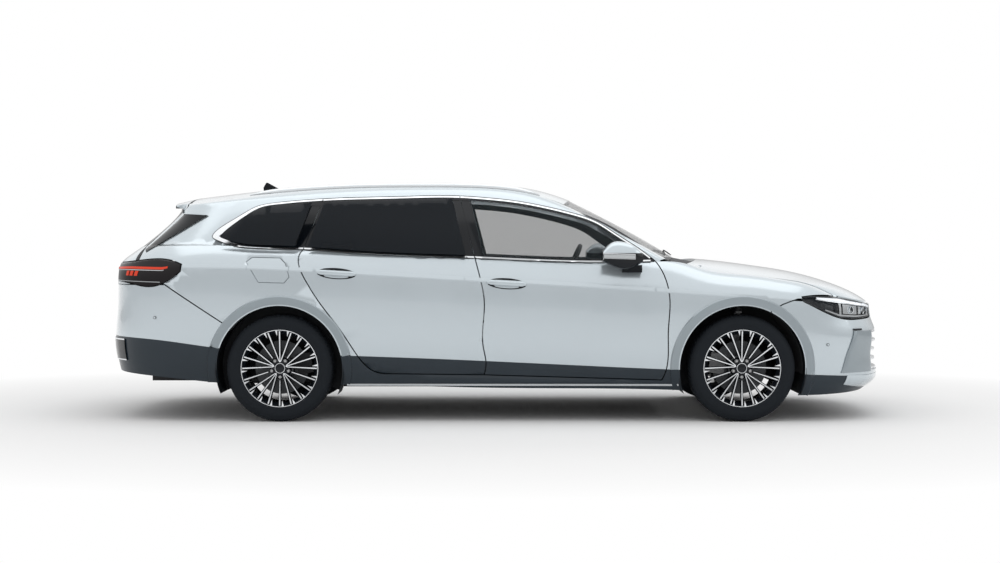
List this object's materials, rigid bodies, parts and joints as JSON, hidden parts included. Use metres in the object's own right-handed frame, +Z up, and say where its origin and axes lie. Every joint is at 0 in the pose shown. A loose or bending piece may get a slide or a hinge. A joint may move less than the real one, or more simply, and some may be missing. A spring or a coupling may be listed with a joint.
{
  "type": "station wagon",
  "caption": "Full-size estate car with hinged doors, bonnet and tailgate, steered front wheels, a hollow cabin with seats and a long roof with rails.",
  "frame": {"origin": "on the ground under the centre of the bounding box", "axes": "+X forwards, +Y to the car's left, +Z up"},
  "size_m": [4.9162, 2.0716, 1.505],
  "materials": {
    "body_paint": "metallic, clear coat",
    "clear_glass": "clear",
    "privacy_glass": "dark tinted",
    "black_plastic": "satin",
    "gloss_black": "gloss",
    "lamp_lens": "gloss",
    "tail_lens": "gloss",
    "satin_trim": "satin",
    "underbody": "matt coating",
    "cast_metal": "as cast",
    "chassis_steel": "satin black",
    "bare_steel": "heat tinted",
    "cabin_plastic": "soft grained",
    "seat_cloth": "woven",
    "wheel_alloy": "machined and painted",
    "tyre": "matt"
  },
  "bodies": {
    "car_body": {"floor_pan": "underbody", "body_side_left": "body_paint", "body_side_right": "body_paint", "fenders": "body_paint", "roof": "body_paint", "windscreen": "clear_glass", "cowl_panel": "black_plastic", "front_bumper": "body_paint", "grille": "black_plastic", "headlamps": "lamp_lens", "rear_bumper": "body_paint", "tail_lamps": "tail_lens", "quarter_glass": "privacy_glass", "roof_rails": "satin_trim", "roof_fin": "gloss_black", "engine": "cast_metal", "front_subframe": "chassis_steel", "rear_axle": "chassis_steel", "exhaust": "bare_steel", "dashboard": "cabin_plastic", "front_seats": "seat_cloth", "rear_seat": "seat_cloth"},
    "bonnet": {"bonnet": "body_paint"},
    "front_door_left": {"front_door_left": "body_paint", "front_door_glass_left": "clear_glass", "mirror_left": "gloss_black"},
    "front_door_right": {"front_door_right": "body_paint", "front_door_glass_right": "clear_glass", "mirror_right": "gloss_black"},
    "rear_door_left": {"rear_door_left": "body_paint", "rear_door_glass_left": "privacy_glass"},
    "rear_door_right": {"rear_door_right": "body_paint", "rear_door_glass_right": "privacy_glass"},
    "tailgate": {"tailgate": "body_paint", "tailgate_glass": "privacy_glass", "tailgate_lamps": "tail_lens"},
    "knuckle_left": {"knuckle_left": "chassis_steel"},
    "knuckle_right": {"knuckle_right": "chassis_steel"},
    "wheel_front_left": {"rim_front_left": "wheel_alloy", "tyre_front_left": "tyre"},
    "wheel_front_right": {"rim_front_right": "wheel_alloy", "tyre_front_right": "tyre"},
    "wheel_rear_left": {"rim_rear_left": "wheel_alloy", "tyre_rear_left": "tyre"},
    "wheel_rear_right": {"rim_rear_right": "wheel_alloy", "tyre_rear_right": "tyre"},
    "steering_wheel": {"steering_wheel": "cabin_plastic"},
    "fuel_flap": {"fuel_flap": "body_paint"}
  },
  "joints": [
    {"name": "steer_left", "type": "hinge", "parent": "car_body", "child": "knuckle_left", "pos_m": [1.5035, 0.728, 0.328], "axis": [0, 0, 1], "range_deg": [-35, 35]},
    {"name": "steer_right", "type": "hinge", "parent": "car_body", "child": "knuckle_right", "pos_m": [1.5035, -0.728, 0.328], "axis": [0, 0, 1], "range_deg": [-35, 35]},
    {"name": "spin_front_left", "type": "hinge", "parent": "knuckle_left", "child": "wheel_front_left", "pos_m": [1.5035, 0.788, 0.328], "axis": [0, 1, 0], "continuous": true},
    {"name": "spin_front_right", "type": "hinge", "parent": "knuckle_right", "child": "wheel_front_right", "pos_m": [1.5035, -0.788, 0.328], "axis": [0, 1, 0], "continuous": true},
    {"name": "spin_rear_left", "type": "hinge", "parent": "car_body", "child": "wheel_rear_left", "pos_m": [-1.3375, 0.788, 0.328], "axis": [0, 1, 0], "continuous": true},
    {"name": "spin_rear_right", "type": "hinge", "parent": "car_body", "child": "wheel_rear_right", "pos_m": [-1.3375, -0.788, 0.328], "axis": [0, 1, 0], "continuous": true},
    {"name": "steering_column", "type": "hinge", "parent": "car_body", "child": "steering_wheel", "pos_m": [0.5025, 0.37, 0.927], "axis": [-0.9205, 0, 0.3907], "range_deg": [-490, 490]},
    {"name": "front_door_left_hinge", "type": "hinge", "parent": "car_body", "child": "front_door_left", "pos_m": [0.9855, 0.899, 0.6], "axis": [0, 0, -1], "range_deg": [0, 65]},
    {"name": "front_door_right_hinge", "type": "hinge", "parent": "car_body", "child": "front_door_right", "pos_m": [0.9855, -0.899, 0.6], "axis": [0, 0, 1], "range_deg": [0, 65]},
    {"name": "rear_door_left_hinge", "type": "hinge", "parent": "car_body", "child": "rear_door_left", "pos_m": [-0.1205, 0.899, 0.6], "axis": [0, 0, -1], "range_deg": [0, 65]},
    {"name": "rear_door_right_hinge", "type": "hinge", "parent": "car_body", "child": "rear_door_right", "pos_m": [-0.1205, -0.899, 0.6], "axis": [0, 0, 1], "range_deg": [0, 65]},
    {"name": "tailgate_hinge", "type": "hinge", "parent": "car_body", "child": "tailgate", "pos_m": [-1.9425, 0, 1.39], "axis": [0, 1, 0], "range_deg": [0, 75]},
    {"name": "bonnet_hinge", "type": "hinge", "parent": "car_body", "child": "bonnet", "pos_m": [1.0755, 0, 0.912], "axis": [0, -1, 0], "range_deg": [0, 50]},
    {"name": "fuel_flap_hinge", "type": "hinge", "parent": "car_body", "child": "fuel_flap", "pos_m": [-1.3095, -0.91912, 0.925], "axis": [0, 0, 1], "range_deg": [0, 75]}
  ],
  "couplings": [
    {"joint": "steer_right", "follows": "steer_left", "ratio": 1},
    {"joint": "steering_column", "follows": "steer_left", "ratio": 14}
  ]
}
